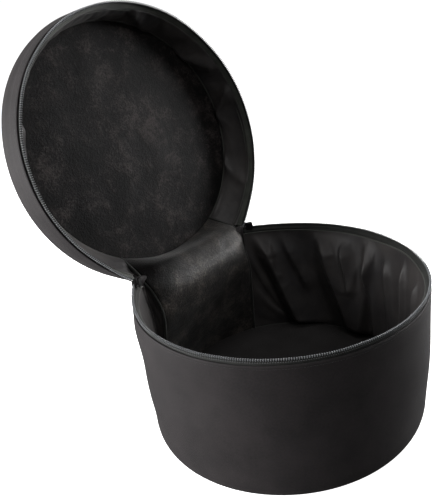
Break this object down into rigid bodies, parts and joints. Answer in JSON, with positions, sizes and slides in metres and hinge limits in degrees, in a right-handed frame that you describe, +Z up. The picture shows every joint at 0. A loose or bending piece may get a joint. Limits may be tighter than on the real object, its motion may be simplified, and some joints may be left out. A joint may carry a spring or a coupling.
{
  "type": "drum bag",
  "caption": "Padded round drum bag with a zipped lid that folds back on a fabric spine, shown open, with a lined body, two zip sliders and a carrying handle.",
  "frame": {"origin": "centre of the underside of the base", "axes": "+Z up, +Y towards the hinge at the back, -Y to the front"},
  "size_m": [0.3794, 0.4921, 0.5338],
  "materials": {
    "black_nylon": "woven, slightly coated",
    "grey_foam": "closed-cell foam",
    "black_lining": "thin satin lining",
    "black_plush": "short brushed pile",
    "zip_tape": "woven tape",
    "zip_coil": "nylon coil",
    "painted_zinc": "satin black paint",
    "black_webbing": "woven webbing"
  },
  "bodies": {
    "bag_body": {"base_board": "grey_foam", "base_lining_panel": "black_lining", "base_outer_panel": "black_nylon", "body_outer_wall": "black_nylon", "body_rim_binding": "zip_tape", "body_wall_foam": "grey_foam", "body_wall_lining": "black_lining", "handle_grip": "black_webbing", "handle_patch_left": "black_nylon", "handle_patch_right": "black_nylon", "handle_webbing": "black_webbing", "hinge_fold": "black_plush", "lower_zip_coil": "zip_coil", "lower_zip_tape": "zip_tape", "spine_foam_lower": "grey_foam", "spine_outer_lower": "black_nylon", "spine_plush_lower": "black_plush", "spine_seam_tape_left": "zip_tape", "spine_seam_tape_right": "zip_tape", "zip_end_tab_left": "black_nylon", "zip_end_tab_right": "black_nylon"},
    "lid": {"lid_outer_wall": "black_nylon", "lid_wall_foam": "grey_foam", "lid_wall_lining": "black_lining", "spine_outer_upper": "black_nylon", "spine_foam_upper": "grey_foam", "spine_plush_upper": "black_plush", "lid_top_panel": "black_nylon", "lid_board": "grey_foam", "lid_plush_panel": "black_plush", "lid_panel_binding": "zip_tape", "lid_rim_binding": "zip_tape", "upper_zip_tape": "zip_tape", "upper_zip_coil": "zip_coil"},
    "slider_left": {"zip_slider_left": "painted_zinc"},
    "slider_right": {"zip_slider_right": "painted_zinc"},
    "pull_left": {"zip_pull_left": "painted_zinc"},
    "pull_right": {"zip_pull_right": "painted_zinc"}
  },
  "joints": [
    {"name": "lid_hinge", "type": "hinge", "parent": "bag_body", "child": "lid", "pos_m": [0, 0.15935, 0.196], "axis": [-1, 0, 0], "range_deg": [-104, 20], "deforming": ["hinge_fold"]},
    {"name": "slider_left_travel", "type": "hinge", "parent": "bag_body", "child": "slider_left", "pos_m": [0, 0, 0.196], "axis": [0, 0, -1], "range_deg": [-141.7, 0]},
    {"name": "slider_right_travel", "type": "hinge", "parent": "bag_body", "child": "slider_right", "pos_m": [0, 0, 0.196], "axis": [0, 0, 1], "range_deg": [-141.7, 0]},
    {"name": "pull_left_tilt", "type": "hinge", "parent": "slider_left", "child": "pull_left", "pos_m": [-0.11567, 0.15575, 0.196], "axis": [0.8028, 0.5962, 0], "range_deg": [0, 115]},
    {"name": "pull_right_tilt", "type": "hinge", "parent": "slider_right", "child": "pull_right", "pos_m": [0.11567, 0.15575, 0.196], "axis": [0.8028, -0.5962, 0], "range_deg": [0, 115]}
  ]
}
